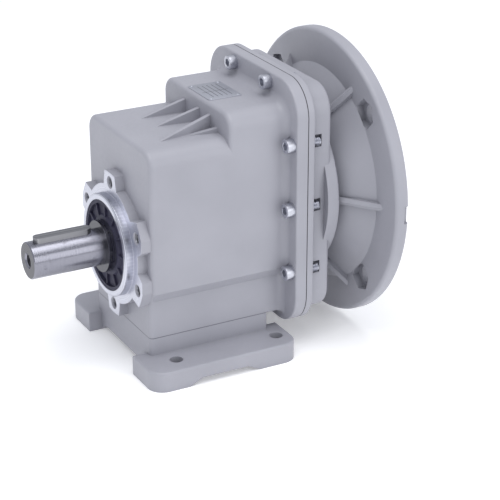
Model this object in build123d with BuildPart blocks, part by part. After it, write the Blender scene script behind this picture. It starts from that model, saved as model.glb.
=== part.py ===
from build123d import *

import math
import os

# Foot-mounted two-stage helical gearbox with a flange for a foot-less motor. Millimetres throughout.
# X runs along the shafts from the output end to the motor end, Z is up, and the origin is the middle
# of the four foot bolts on the base plane. A name that starts with x_ is a place along X.

# Shaft heights and gear centres
axis_height = 80.0
input_rise = 24.0
second_centres = 54.0
first_centres = second_centres - input_rise

# Gear teeth: the modules follow from the centre distances
second_pinion_teeth = 14
second_wheel_teeth = 38
first_pinion_teeth = 15
first_wheel_teeth = 31
second_helix = 15.64
first_helix = 16.6
pressure_angle = 20.0
backlash = 0.2
second_face = 26.0
first_face = 16.0
pinion_overhang = 1.0

# Output shaft end, key and centre thread
shaft_dia = 25.0
shaft_length = 50.0
shaft_chamfer = 1.5
collar_dia = 35.0
collar_proud = 4.0
key_width = 8.0
key_height = 7.0
key_depth = 4.0
key_length = 40.0
key_setback = 4.5
centre_thread_dia = 8.5
centre_sink_dia = 10.6
centre_depth = 22.0

# Output face: pilot ring and lobed face with six threaded ears
pilot_dia = 70.0
pilot_height = 5.5
lobe_height = 6.5
lobe_valley_dia = 82.0
lobe_tip_dia = 101.0
ear_circle = 87.0
ear_hole_dia = 6.8
ear_hole_depth = 11.5
ear_sink_dia = 8.6
side_ear_angle = 25.0
side_ear_inner = 23.0
side_ear_outer = 18.5
end_ear_inner = 19.5
end_ear_outer = 14.5

# Housing lengths along X, walls and heights above the output axis
pilot_to_bolts = 62.5
front_block_length = 57.0
rear_block_length = 42.0
joint_flange_thickness = 8.0
wall = 5.0
front_wall = 7.0
gear_room = 2.04
pinion_room = 1.46
rear_block_rise = 17.0
lower_inset = 5.0
crease_top = -20.0
crease_drop = 7.0
floor_thickness = 9.5
block_corner = 11.0
cavity_corner = 7.0
edge_round = 3.0
flange_root_round = 5.0
# Ribs on the front block: place across at the tip and at the step, length, rise at the step
top_ribs = (
    (18.7, 16.7, 35.0, 9.5),
    (0.0, -3.8, 32.0, 9.5),
    (-28.4, -19.9, 44.5, 9.5),
    (-25.0, -30.0, 24.0, 3.5),
)
top_rib_width = 3.2
step_round = 3.0
rim_round = 1.2
spot_face_dia = 12.5
flute_dia = 8.6
flute_length = 8.0

# Joint flange, gasket and cover outline
joint_width = 124.0
joint_height = 172.0
joint_corner = 24.0
gasket_thickness = 0.5
rim_thickness = 5.0
cover_inset = 6.0
cover_corner = 18.0
cover_block_length = 15.5
cover_wall = 7.0
cover_edge_round = 2.5

# Motor flange (frame size 80, B5 pattern) and its bell
motor_flange_dia = 200.0
motor_flange_thickness = 10.0
motor_bolt_circle = 165.0
motor_bolt_dia = 12.0
motor_spigot_dia = 130.0
motor_spigot_depth = 4.0
nut_across_flats = 18.0
nut_pocket_depth = 5.0
hub_disc_dia = 124.0
hub_disc_thickness = 4.0
bell_length = 20.0
bell_neck_dia = 100.0
bell_mouth_dia = 152.0
bell_wall = 6.0
bell_rib_width = 5.0
bell_rib_reach = 84.0
bell_rib_root = 58.0
bell_rib_count = 6
bell_rib_draft = 35.0
bell_rib_bite = 3.0
rim_notch_width = 12.0
rim_notch_depth = 3.5
flange_edge_round = 2.5

# Foot casting
foot_length = 108.0
foot_front_reach = 60.5
foot_width = 140.0
foot_thickness = 14.0
foot_corner = 11.0
foot_bolt_x = 75.0
foot_bolt_y = 110.0
foot_bolt_dia = 9.0
foot_seam_drop = 53.5
yoke_half_width = 43.5
yoke_length = 88.0
pad_inner = 36.0
relief_height = 4.5
relief_start = 28.0
relief_end = 80.0
pocket_wall = 7.0
pocket_roof = 8.0

# Screws: thread, head and hexagon socket
cover_screw_dia = 6.0
cover_screw_length = 20.0
cover_screw_edge = 6.0
cover_screw_side_pitch = 45.0
cover_screw_end_half = 24.0
cover_screw_end_edge = 6.5
foot_screw_dia = 8.0
foot_screw_x = 64.0
foot_screw_y = 62.0
foot_screw_bite = 7.5
bridge_screw_dia = 6.0
bridge_screw_bite = 10.0
head_ratio = 1.65
socket_ratio = 0.83

# Rolling bearings: bore, outside diameter, width, number of balls
output_front_bearing = (35.0, 62.0, 14.0, 9)
output_rear_bearing = (25.0, 47.0, 12.0, 9)
lay_bearing = (15.0, 35.0, 11.0, 7)
input_bearing = (30.0, 55.0, 9.0, 9)
rolling_clearance = 0.05
input_bearing_gap = 6.0

# Shaft details behind the faces
seal_width = 7.0
seal_setback = 0.5
lip_clearance = 0.05
bore_clip_thickness = 2.0
bore_clip_depth = 2.0
shaft_clip_thickness = 1.5
shaft_clip_depth = 0.8
clip_land = 3.2
bearing_shoulder = 3.5
lip_thickness = 3.0
wheel_seat_dia = 38.0
wheel_key_width = 10.0
wheel_key_height = 8.0
wheel_key_depth = 5.0
lay_wheel_seat_dia = 20.0
lay_key_width = 6.0
lay_key_height = 6.0
lay_key_depth = 3.5
hub_key_clearance = 0.3
bridge_thickness = 14.0
input_bore_dia = 19.0
input_key_width = 6.0
input_key_rise = 2.8
input_bore_depth = 40.5
input_stub_dia = 14.0
input_pinion_seat_dia = 12.0
input_shoulder_dia = 38.0
shaft_gap = 1.0

# Places along X, from the pilot face to the motor face
x_pilot = -pilot_to_bolts
x_lobe = x_pilot + pilot_height
x_front = x_lobe + lobe_height
x_step = x_front + front_block_length
x_flange = x_step + rear_block_length
x_joint = x_flange + joint_flange_thickness
x_cover = x_joint + gasket_thickness
x_rim = x_cover + rim_thickness
x_block = x_rim + cover_block_length
x_disc = x_block + hub_disc_thickness
x_bell = x_disc + bell_length
x_motor = x_bell + motor_flange_thickness
x_collar = x_pilot - collar_proud
x_tip = x_collar - shaft_length

# Heights above the base
lay_height = axis_height + second_centres
input_height = axis_height + input_rise


def gear_sizes(teeth, mate_teeth, centres, helix):
    """Normal module, pitch, tip, root and base radius and transverse pressure angle of one gear."""
    module = 2 * centres * math.cos(math.radians(helix)) / (teeth + mate_teeth)
    pitch = centres * teeth / (teeth + mate_teeth)
    transverse = math.atan(math.tan(math.radians(pressure_angle)) / math.cos(math.radians(helix)))
    base = pitch * math.cos(transverse)
    return module, pitch, pitch + module, pitch - 1.25 * module, base, transverse


wheel_tip = gear_sizes(second_wheel_teeth, second_pinion_teeth, second_centres, second_helix)[2]
lay_pinion_tip = gear_sizes(second_pinion_teeth, second_wheel_teeth, second_centres, second_helix)[2]

# Housing section, as heights above the output axis, follows from the gears inside
inner_half = wheel_tip + gear_room
outer_half = inner_half + wall
front_inner_top = second_centres + lay_pinion_tip + pinion_room
front_top = front_inner_top + wall
rear_top = front_top + rear_block_rise
rear_inner_top = rear_top - wall
inner_floor = -foot_seam_drop + floor_thickness

# Inside stations along X
x_seal = x_pilot + seal_setback
x_bore_clip = x_seal + seal_width + seal_setback
x_front_bearing = x_bore_clip + bore_clip_thickness
x_front_bearing_end = x_front_bearing + output_front_bearing[2]
x_lip_end = x_front_bearing_end + lip_thickness
x_wheel = x_lip_end + lip_thickness
x_wheel_end = x_wheel + second_face
x_wheel_clip_end = x_wheel_end + shaft_clip_thickness
x_bridge = x_step + wall
x_bridge_end = x_bridge + bridge_thickness
x_rear_bearing = x_bridge_end - output_rear_bearing[2]
x_rear_clip_end = x_bridge_end + shaft_clip_thickness
x_shaft_end = x_rear_clip_end + shaft_gap
x_lay_wheel = x_bridge_end + 2 * lip_thickness
x_lay_wheel_end = x_lay_wheel + first_face
x_lay_seat = x_front + wall
x_lay_bearing_end = x_lay_seat + lay_bearing[2]
x_lay_rear = x_lay_wheel_end + wall
x_lay_rear_end = x_lay_rear + lay_bearing[2]
x_quill = x_lay_rear_end + 2 * gear_room
x_input_bearing = x_rim + cover_block_length - bearing_shoulder
x_input_ring = x_input_bearing + input_bearing[2]
x_input_second = x_input_ring + input_bearing_gap
x_input_clip = x_input_second + input_bearing[2]
x_spigot = x_motor - motor_spigot_depth
x_input_seal = x_spigot - seal_width


def along(height):
    """Plane through a shaft axis: its x runs along the shaft, its y upwards."""
    return Plane(origin=(0, 0, height), x_dir=(1, 0, 0), z_dir=(0, -1, 0))


def across(x, height=axis_height):
    """Plane square to the shafts at a place along X, with its centre at a given height."""
    return Plane(origin=(x, 0, height), x_dir=(0, 1, 0), z_dir=(1, 0, 0))


def shaft_axis(height):
    return Axis((0, 0, height), (1, 0, 0))


def turned(steps, chamfer_size=0.0):
    """Closed half-section of a stepped shaft, from (start, end, diameter) steps along X."""
    first, last = steps[0], steps[-1]
    points = [(first[0], 0), (first[0], first[2] / 2 - chamfer_size), (first[0] + chamfer_size, first[2] / 2)]
    for step, following in zip(steps, steps[1:]):
        points.append((step[1], step[2] / 2))
        points.append((following[0], following[2] / 2))
    points.append((last[1] - chamfer_size, last[2] / 2))
    points.append((last[1], last[2] / 2 - chamfer_size))
    points.append((last[1], 0))
    with BuildSketch(Plane.XY) as section:
        with BuildLine():
            Polyline(*points, close=True)
        make_face()
    return section.sketch


def block_section(half, top, floor, inset, corner):
    """Housing section: straight walls, an inward step below, rounded top corners."""
    low = half - inset
    with BuildSketch(Plane.XY) as section:
        with BuildLine():
            Polyline(
                (-low, floor),
                (-low, crease_top - crease_drop),
                (-half, crease_top),
                (-half, top - corner),
            )
            RadiusArc((-half, top - corner), (-half + corner, top), corner)
            Line((-half + corner, top), (half - corner, top))
            RadiusArc((half - corner, top), (half, top - corner), corner)
            Polyline(
                (half, top - corner),
                (half, crease_top),
                (low, crease_top - crease_drop),
                (low, floor),
                (-low, floor),
            )
        make_face()
    return section.sketch


def save(part, name):
    part.label = name
    export_step(part, f"parts/{name}.step")


def gear_section(teeth, mate_teeth, centres, helix, turn):
    """Transverse tooth outline, with a tooth centred on the angle turn (radians)."""
    module, pitch, tip, root, base, transverse = gear_sizes(teeth, mate_teeth, centres, helix)

    def half_angle(radius):
        at_pitch = math.pi / (2 * teeth) - backlash / (4 * pitch)
        slope = math.acos(min(1.0, base / radius))
        return at_pitch + (math.tan(transverse) - transverse) - (math.tan(slope) - slope)

    def point(radius, angle):
        return (radius * math.cos(angle), radius * math.sin(angle))

    foot = max(base, root + 0.05 * module)
    middle = (foot + tip) / 2
    step = 2 * math.pi / teeth
    low, mid, high = half_angle(foot), half_angle(middle), half_angle(tip)
    with BuildSketch(Plane.XY) as section:
        with BuildLine():
            for tooth in range(teeth):
                centre = turn + tooth * step
                next_low = centre + step - low
                Line(point(root, centre - low), point(foot, centre - low))
                ThreePointArc(
                    point(foot, centre - low), point(middle, centre - mid), point(tip, centre - high)
                )
                ThreePointArc(
                    point(tip, centre - high), point(tip, centre), point(tip, centre + high)
                )
                ThreePointArc(
                    point(tip, centre + high), point(middle, centre + mid), point(foot, centre + low)
                )
                Line(point(foot, centre + low), point(root, centre + low))
                ThreePointArc(
                    point(root, centre + low), point(root, centre + step / 2), point(root, next_low)
                )
        make_face()
    return section.sketch


def helical_teeth(x, length, height, teeth, mate_teeth, centres, helix, turn, x_phase):
    """Toothed body between two places along X, in phase at x_phase. The sign of helix is its hand."""
    pitch = centres * teeth / (teeth + mate_teeth)
    twist = math.tan(math.radians(helix)) / pitch
    sections = []
    for quarter in range(5):
        place = x + length * quarter / 4
        angle = turn + twist * (place - x_phase)
        sections.append(
            across(place, height) * gear_section(teeth, mate_teeth, centres, abs(helix), angle)
        )
    return loft(sections, mode=Mode.PRIVATE)


def ball_bearing(name, x, height, sizes):
    """Writes the outer ring, the inner ring and the caged balls of one deep-groove bearing."""
    bore, outside, width, balls = sizes
    pitch = (bore + outside) / 4
    ball = 0.15 * (outside - bore)
    land = 0.55 * ball
    centre = x + width / 2
    with BuildPart() as outer_ring:
        with BuildSketch(along(height)):
            with Locations((centre, (pitch + land + outside / 2) / 2)):
                Rectangle(width, outside / 2 - pitch - land)
            with Locations((centre, pitch)):
                Circle(ball + rolling_clearance, mode=Mode.SUBTRACT)
        revolve(axis=shaft_axis(height))
    save(outer_ring.part, name + "_outer_ring")
    with BuildPart() as inner_ring:
        with BuildSketch(along(height)):
            with Locations((centre, (bore / 2 + pitch - land) / 2)):
                Rectangle(width, pitch - land - bore / 2)
            with Locations((centre, pitch)):
                Circle(ball + rolling_clearance, mode=Mode.SUBTRACT)
        revolve(axis=shaft_axis(height))
    save(inner_ring.part, name + "_inner_ring")
    with BuildPart() as caged_balls:
        with BuildSketch(along(height)):
            with Locations((centre, pitch)):
                Rectangle(1.3 * ball, 0.5 * ball)
        revolve(axis=shaft_axis(height))
        with Locations(across(centre, height)):
            with PolarLocations(pitch, balls):
                Sphere(ball)
    save(caged_balls.part, name + "_balls")


def circlip(name, x, height, inner_dia, outer_dia, thickness):
    """A flat spring ring with a gap at the bottom and two lugs beside it."""
    gap = 0.3 * inner_dia
    with BuildPart() as ring:
        with BuildSketch(across(x, height)):
            Circle(outer_dia / 2)
            Circle(inner_dia / 2, mode=Mode.SUBTRACT)
            with Locations((0, -outer_dia / 2)):
                Rectangle(gap, outer_dia - inner_dia + 4, mode=Mode.SUBTRACT)
        extrude(amount=thickness)
    save(ring.part, name)


def parallel_key(name, x_middle, length, width, low, top):
    """A round-ended parallel key lying along X, from low to top."""
    with BuildPart() as key:
        with BuildSketch(Plane.XY.offset(low)):
            with Locations((x_middle, 0)):
                SlotOverall(length, width)
        extrude(amount=top - low)
    save(key.part, name)


def cap_screws(name, places, thread, length):
    """Socket cap screws as one group. Each place is under its head, and its plane faces the head."""
    head = head_ratio * thread
    with BuildPart() as screws:
        for place in places:
            with BuildSketch(place):
                Circle(thread / 2)
            extrude(amount=-length)
            with BuildSketch(place):
                Circle(head / 2)
            extrude(amount=thread)
            with BuildSketch(place.offset(thread)):
                RegularPolygon(socket_ratio * thread / 2, 6, major_radius=False)
            extrude(amount=-0.5 * thread, mode=Mode.SUBTRACT)
    save(screws.part, name)


def ear_angles():
    side = side_ear_angle
    return (side, 180 - side, 180 + side, 360 - side)


def ear_shape(angle, inner_width, outer_width):
    """One ear of the machined face: a tapered tongue under the round rim."""
    reach = lobe_tip_dia / 2 + 2
    root = lobe_valley_dia / 4
    turn = math.radians(angle)

    def place(radius, offset):
        return (
            radius * math.cos(turn) - offset * math.sin(turn),
            radius * math.sin(turn) + offset * math.cos(turn),
        )

    with BuildSketch(Plane.XY) as ear:
        with BuildLine():
            Polyline(
                place(root, inner_width / 2),
                place(lobe_valley_dia / 2, inner_width / 2),
                place(reach, outer_width / 2),
                place(reach, -outer_width / 2),
                place(lobe_valley_dia / 2, -inner_width / 2),
                place(root, -inner_width / 2),
                close=True,
            )
        make_face()
    return ear.sketch


def joint_outline(inset, corner):
    """The rounded joint rectangle, centred on the motor axis."""
    RectangleRounded(joint_width - 2 * inset, joint_height - 2 * inset, corner)


def cover_screw_spots():
    """Screw places on the joint, as (y, height above the motor axis)."""
    side = joint_width / 2 - cover_screw_edge
    end = joint_height / 2 - cover_screw_end_edge
    spots = []
    for sign in (-1, 1):
        for row in (-1, 0, 1):
            spots.append((sign * side, row * cover_screw_side_pitch))
        for row in (-1, 1):
            spots.append((sign * cover_screw_end_half, row * end))
    return spots


def bridge_screw_spots():
    """Screw places on the bearing bridge, as (y, height above the output axis)."""
    edge = bridge_screw_dia * head_ratio / 2 + 0.55
    upper = front_inner_top - edge
    lower = inner_floor + edge
    return (
        (inner_half - edge, upper),
        (edge - inner_half, upper),
        (inner_half - lower_inset - edge, lower),
        (edge + lower_inset - inner_half, lower),
    )


def on_step_rim(edge):
    """True for the outer rim of the step face, false for its foot on the front block."""
    centre = edge.center()
    return centre.Z > axis_height + front_top + 0.5 or (
        abs(abs(centre.Y) - outer_half) < 0.01
    )


def make_housing():
    pin_bore = output_front_bearing[1]
    with BuildPart() as housing:
        # Joint flange with a soft front rim
        with BuildSketch(across(x_flange, input_height)):
            joint_outline(0, joint_corner)
        extrude(amount=joint_flange_thickness)
        fillet(housing.faces().sort_by(Axis.X)[0].edges(), rim_round)
        # Front block with soft front edges
        with BuildSketch(across(x_front)):
            add(block_section(outer_half, front_top, -foot_seam_drop, lower_inset, block_corner))
        extrude(amount=x_joint - x_front)
        front_edges = housing.faces().sort_by(Axis.X)[0].edges()
        fillet(front_edges.sort_by(Axis.Z)[1:], edge_round)
        # Taller rear block
        with BuildSketch(across(x_step)):
            add(block_section(outer_half, rear_top, -foot_seam_drop, lower_inset, block_corner))
        extrude(amount=x_joint - x_step)
        step_face = housing.faces().filter_by_position(Axis.X, x_step - 0.1, x_step + 0.1)[0]
        step_edges = step_face.edges().filter_by_position(
            Axis.Z, axis_height + front_top - block_corner + 1, axis_height + rear_top + 1
        )
        fillet([edge for edge in step_edges if on_step_rim(edge)], step_round)
        # Hollow curve at the root of the joint flange
        flange_face = housing.faces().filter_by_position(Axis.X, x_flange - 0.1, x_flange + 0.1)[0]
        fillet(flange_face.inner_wires()[0].edges(), flange_root_round)
        # Spot faces for the screw heads, the lower pair let into the underside
        with BuildSketch(across(x_flange, input_height)):
            with Locations(*cover_screw_spots()):
                Circle(spot_face_dia / 2)
        extrude(amount=-cover_screw_dia - 1, mode=Mode.SUBTRACT)
        # Sloped ribs from the front block up to the rear block, fanned out
        for y_tip, y_step, length, rise in top_ribs:
            skew = y_step - y_tip
            foot = (x_step - length, y_tip, axis_height + front_top - 1)
            with BuildSketch(Plane(origin=foot, x_dir=(length, skew, 0), z_dir=(skew, -length, 0))):
                with BuildLine():
                    run = math.hypot(length, skew) + 1
                    Polyline((0, 0), (run, 0), (run, rise + 1), close=True)
                make_face()
            extrude(amount=top_rib_width / 2, both=True)
        # Machined lobed face and pilot ring
        with BuildSketch(across(x_lobe)) as lobes:
            for angle in ear_angles():
                add(ear_shape(angle, side_ear_inner, side_ear_outer))
            for angle in (90, 270):
                add(ear_shape(angle, end_ear_inner, end_ear_outer))
            Circle(lobe_tip_dia / 2, mode=Mode.INTERSECT)
            Rectangle(2 * outer_half - edge_round, lobe_tip_dia, mode=Mode.INTERSECT)
            Circle(lobe_valley_dia / 2)
        extrude(amount=lobe_height + wall)
        with BuildSketch(across(x_pilot)):
            Circle(pilot_dia / 2)
        extrude(amount=pilot_height)
        pilot_rim = housing.faces().sort_by(Axis.X)[0].edges()
        chamfer(pilot_rim, 0.8)
        # Front and rear cavities
        with BuildSketch(across(x_front + front_wall)):
            add(block_section(inner_half, front_inner_top, inner_floor, lower_inset, cavity_corner))
        extrude(amount=x_bridge - x_front - front_wall, mode=Mode.SUBTRACT)
        with BuildSketch(across(x_bridge)):
            add(block_section(inner_half, rear_inner_top, inner_floor, lower_inset, cavity_corner))
        extrude(amount=x_joint - x_bridge, mode=Mode.SUBTRACT)
        # Inner bosses: output bearing, layshaft bearing and bridge screws
        with BuildSketch(across(x_front + front_wall)):
            Circle(pin_bore / 2 + wall)
        extrude(amount=x_lip_end - x_front - front_wall)
        with BuildSketch(across(x_front + front_wall, lay_height)):
            Circle(lay_bearing[1] / 2 + wall)
            half_rise = front_top - second_centres - wall / 2
            Rectangle(2 * outer_half, 2 * half_rise, mode=Mode.INTERSECT)
        extrude(amount=x_lay_bearing_end - x_front - front_wall)
        with BuildSketch(across(x_bridge - bridge_screw_bite - wall)):
            with Locations(*bridge_screw_spots()):
                Circle(bridge_screw_dia + 1)
        extrude(amount=bridge_screw_bite + wall)
        with BuildSketch(across(x_bridge - bridge_screw_bite)):
            with Locations(*bridge_screw_spots()):
                Circle(bridge_screw_dia / 2)
        extrude(amount=bridge_screw_bite, mode=Mode.SUBTRACT)
        # Bore for the seal and the front bearing, its clip groove and its inner lip
        with BuildSketch(across(x_pilot)):
            Circle(pin_bore / 2)
        extrude(amount=x_front_bearing_end - x_pilot, mode=Mode.SUBTRACT)
        with BuildSketch(across(x_bore_clip)):
            Circle(pin_bore / 2 + bore_clip_depth)
        extrude(amount=bore_clip_thickness, mode=Mode.SUBTRACT)
        with BuildSketch(across(x_front_bearing_end)):
            Circle(pin_bore / 2 - bearing_shoulder)
        extrude(amount=lip_thickness, mode=Mode.SUBTRACT)
        # Layshaft bearing seat with a relief behind the inner ring
        with BuildSketch(across(x_lay_seat, lay_height)):
            Circle(lay_bearing[1] / 2)
        extrude(amount=lay_bearing[2], mode=Mode.SUBTRACT)
        with BuildSketch(across(x_lay_seat - shaft_gap, lay_height)):
            Circle(lay_bearing[1] / 2 - wall)
        extrude(amount=shaft_gap, mode=Mode.SUBTRACT)
        # Threaded holes in the ears
        for angle in (*ear_angles(), 90, 270):
            turn = math.radians(angle)
            y = ear_circle / 2 * math.cos(turn)
            z = axis_height + ear_circle / 2 * math.sin(turn)
            with Locations(Plane(origin=(x_lobe, y, z), x_dir=(0, -1, 0), z_dir=(-1, 0, 0))):
                CounterSinkHole(ear_hole_dia / 2, ear_sink_dia / 2, ear_hole_depth)
        # Clearance holes and spot faces for the cover screws
        with BuildSketch(across(x_flange, input_height)):
            with Locations(*cover_screw_spots()):
                Circle(cover_screw_dia / 2 + 0.3)
        extrude(amount=joint_flange_thickness, mode=Mode.SUBTRACT)
        # Threads for the foot screws
        with BuildSketch(Plane.XY.offset(axis_height - foot_seam_drop)):
            with GridLocations(foot_screw_x, foot_screw_y, 2, 2):
                Circle(foot_screw_dia / 2)
        extrude(amount=foot_screw_bite, mode=Mode.SUBTRACT)
    save(housing.part, "housing")


def make_foot():
    seam = axis_height - foot_seam_drop
    x_foot = -foot_front_reach
    x_yoke = x_front
    yoke_middle = x_yoke + yoke_length / 2
    head_room = foot_screw_dia * head_ratio + 1
    with BuildPart() as foot:
        with BuildSketch(Plane.XY):
            with Locations((x_foot + foot_length / 2, 0)):
                RectangleRounded(foot_length, foot_width, foot_corner)
            with Locations((x_foot + foot_length / 2, 0)):
                Rectangle(foot_length + 2, 2 * pad_inner, mode=Mode.SUBTRACT)
        extrude(amount=foot_thickness)
        top_rims = foot.faces().sort_by(Axis.Z)[-2:].edges()
        fillet(top_rims, 1.5)
        with BuildSketch(Plane.XY):
            with Locations((yoke_middle, 0)):
                RectangleRounded(yoke_length, 2 * yoke_half_width, edge_round)
        extrude(amount=seam)
        # Underside reliefs: between the pads and along each side
        with BuildSketch(Plane.YZ.offset(x_foot)):
            with BuildLine():
                Polyline(
                    (-pad_inner, 0),
                    (-pad_inner + relief_height, relief_height),
                    (pad_inner - relief_height, relief_height),
                    (pad_inner, 0),
                    close=True,
                )
            make_face()
        extrude(amount=foot_length + yoke_length, mode=Mode.SUBTRACT)
        with BuildSketch(Plane.XZ.offset(foot_width / 2)):
            with BuildLine():
                x_start = x_pilot + relief_start
                x_end = x_pilot + relief_end
                Polyline(
                    (x_start, 0),
                    (x_start + 2 * relief_height, relief_height),
                    (x_end - 2 * relief_height, relief_height),
                    (x_end, 0),
                    close=True,
                )
            make_face()
        extrude(amount=-foot_width, mode=Mode.SUBTRACT)
        # Cored pocket under the yoke, with a boss around each foot screw
        with BuildSketch(Plane.XY):
            with Locations((yoke_middle, 0)):
                Rectangle(yoke_length - 2 * pocket_wall, 2 * (pad_inner - pocket_wall))
            with GridLocations(foot_screw_x, foot_screw_y, 2, 2):
                Circle(head_room / 2 + 3, mode=Mode.SUBTRACT)
        extrude(amount=seam - pocket_roof, mode=Mode.SUBTRACT)
        with BuildSketch(Plane.XY):
            with GridLocations(foot_screw_x, foot_screw_y, 2, 2):
                Circle(head_room / 2)
        extrude(amount=seam - pocket_roof, mode=Mode.SUBTRACT)
        with BuildSketch(Plane.XY):
            with GridLocations(foot_screw_x, foot_screw_y, 2, 2):
                Circle(foot_screw_dia / 2 + 0.5)
        extrude(amount=seam, mode=Mode.SUBTRACT)
        # Bolt holes in the pads
        with BuildSketch(Plane.XY):
            with GridLocations(foot_bolt_x, foot_bolt_y, 2, 2):
                Circle(foot_bolt_dia / 2)
        extrude(amount=foot_thickness, mode=Mode.SUBTRACT)
    save(foot.part, "foot_base")


def make_foot_screws():
    under_head = axis_height - foot_seam_drop - pocket_roof
    places = []
    for x in (-foot_screw_x / 2, foot_screw_x / 2):
        for y in (-foot_screw_y / 2, foot_screw_y / 2):
            places.append(Plane(origin=(x, y, under_head), x_dir=(1, 0, 0), z_dir=(0, 0, -1)))
    cap_screws("foot_screws", places, foot_screw_dia, pocket_roof + foot_screw_bite)


def make_gasket():
    with BuildPart() as gasket:
        with BuildSketch(across(x_joint, input_height)):
            joint_outline(0, joint_corner)
            with Locations(*cover_screw_spots()):
                Circle(cover_screw_dia / 2 + 0.3, mode=Mode.SUBTRACT)
        extrude(amount=gasket_thickness)
        with BuildSketch(across(x_joint)):
            add(block_section(inner_half, rear_inner_top, inner_floor, lower_inset, cavity_corner))
        extrude(amount=gasket_thickness, mode=Mode.SUBTRACT)
    save(gasket.part, "joint_gasket")


def make_cover_screws():
    places = []
    for y, z in cover_screw_spots():
        places.append(
            Plane(origin=(x_flange, y, input_height + z), x_dir=(0, 1, 0), z_dir=(-1, 0, 0))
        )
    cap_screws("cover_screws", places, cover_screw_dia, cover_screw_length)


def make_cover():
    bore = input_bearing[1]
    lay_seat = lay_bearing[1]
    with BuildPart() as cover:
        with BuildSketch(across(x_cover, input_height)):
            joint_outline(0, joint_corner)
        extrude(amount=rim_thickness)
        fillet(cover.faces().sort_by(Axis.X)[-1].edges(), rim_round)
        with BuildSketch(across(x_rim, input_height)):
            joint_outline(cover_inset, cover_corner)
        extrude(amount=cover_block_length)
        fillet(cover.faces().sort_by(Axis.X)[-1].edges(), cover_edge_round)
        # Round disc, bell and motor flange, with the hub bore and the annular pocket behind it
        hub = bore / 2 + 2 * wall
        neck = bell_neck_dia / 2
        mouth = bell_mouth_dia / 2
        outer = motor_flange_dia / 2
        with BuildSketch(along(input_height)) as bell:
            with BuildLine():
                Polyline(
                    (x_block - wall, 0),
                    (x_block - wall, hub_disc_dia / 2),
                    (x_disc, hub_disc_dia / 2),
                    (x_disc, neck),
                    (x_bell, mouth),
                    (x_bell, outer),
                    (x_motor, outer),
                    (x_motor, motor_spigot_dia / 2),
                    (x_spigot, motor_spigot_dia / 2),
                    (x_spigot, mouth - 3 * bell_wall),
                    (x_disc + bell_wall, neck - bell_wall + 2),
                    (x_disc + bell_wall, hub),
                    (x_spigot, hub),
                    (x_spigot, 0),
                    close=True,
                )
            make_face()
            rims = [corner for corner in bell.vertices() if corner.Y > outer - 0.1]
            fillet(rims, flange_edge_round)
            disc_rim = [
                corner
                for corner in bell.vertices()
                if abs(corner.X - x_disc) < 0.1 and abs(corner.Y - hub_disc_dia / 2) < 0.1
            ]
            fillet(disc_rim, rim_round)
        revolve(axis=shaft_axis(input_height))
        # Bell ribs
        for number in range(bell_rib_count):
            angle = 90 + number * 360 / bell_rib_count
            tilted = along(input_height).rotated((angle, 0, 0))
            with BuildSketch(tilted):
                with BuildLine():
                    Polyline(
                        (x_disc - bell_rib_bite, neck - 2),
                        (x_disc - bell_rib_bite, bell_rib_root),
                        (x_disc + 1, bell_rib_root),
                        (x_bell, bell_rib_reach),
                        (x_bell + bell_rib_bite, bell_rib_reach),
                        (x_bell + bell_rib_bite, mouth - 2),
                        close=True,
                    )
                make_face()
            extrude(amount=bell_rib_width / 2, both=True, taper=bell_rib_draft)
        # Cavity, layshaft bearing boss and seat
        with BuildSketch(across(x_cover)):
            add(block_section(inner_half, rear_inner_top, inner_floor, lower_inset, cavity_corner))
        extrude(amount=x_block - cover_wall - x_cover, mode=Mode.SUBTRACT)
        with BuildSketch(across(x_lay_rear - shaft_gap, lay_height)):
            Circle(lay_seat / 2 + wall)
        extrude(amount=x_block - cover_wall - x_lay_rear + shaft_gap)
        with BuildSketch(across(x_lay_rear - shaft_gap, lay_height)):
            Circle(lay_seat / 2)
        extrude(amount=lay_bearing[2] + shaft_gap, mode=Mode.SUBTRACT)
        with BuildSketch(across(x_lay_rear_end, lay_height)):
            Circle(lay_seat / 2 - wall)
        extrude(amount=shaft_gap, mode=Mode.SUBTRACT)
        # Input bore: stub passage, shoulder room, bearing seat and clip groove
        with BuildSketch(across(x_lay_rear - shaft_gap, input_height)):
            Circle(input_stub_dia / 2 + shaft_gap)
        extrude(amount=x_quill - x_lay_rear + shaft_gap, mode=Mode.SUBTRACT)
        with BuildSketch(across(x_quill - shaft_gap, input_height)):
            Circle(input_shoulder_dia / 2 + 1.5 * shaft_gap)
        extrude(amount=x_input_bearing - x_quill + shaft_gap, mode=Mode.SUBTRACT)
        with BuildSketch(across(x_input_bearing, input_height)):
            Circle(bore / 2)
        extrude(amount=x_spigot - x_input_bearing, mode=Mode.SUBTRACT)
        with BuildSketch(across(x_input_clip, input_height)):
            Circle(bore / 2 + bore_clip_depth)
        extrude(amount=bore_clip_thickness, mode=Mode.SUBTRACT)
        # Threads for the joint screws and flutes behind them
        with BuildSketch(across(x_cover, input_height)):
            with Locations(*cover_screw_spots()):
                Circle(cover_screw_dia / 2)
        extrude(amount=rim_thickness, mode=Mode.SUBTRACT)
        with BuildSketch(across(x_rim, input_height)):
            with Locations(*cover_screw_spots()):
                Circle(flute_dia / 2)
        extrude(amount=flute_length, mode=Mode.SUBTRACT)
        # Motor bolt holes with hexagon pockets, and the notch in the rim
        with BuildSketch(across(x_bell, input_height)):
            with PolarLocations(motor_bolt_circle / 2, 4, start_angle=45):
                Circle(motor_bolt_dia / 2)
        extrude(amount=motor_flange_thickness, mode=Mode.SUBTRACT)
        with BuildSketch(across(x_bell, input_height)):
            with PolarLocations(motor_bolt_circle / 2, 4, start_angle=45):
                RegularPolygon(nut_across_flats / 2, 6, major_radius=False)
        extrude(amount=nut_pocket_depth, mode=Mode.SUBTRACT)
        with BuildSketch(across(x_motor, input_height)):
            with Locations((-outer, 0)):
                Rectangle(2 * rim_notch_depth, rim_notch_width)
        extrude(amount=-rim_notch_depth, mode=Mode.SUBTRACT)
    save(cover.part, "input_cover")


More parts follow.
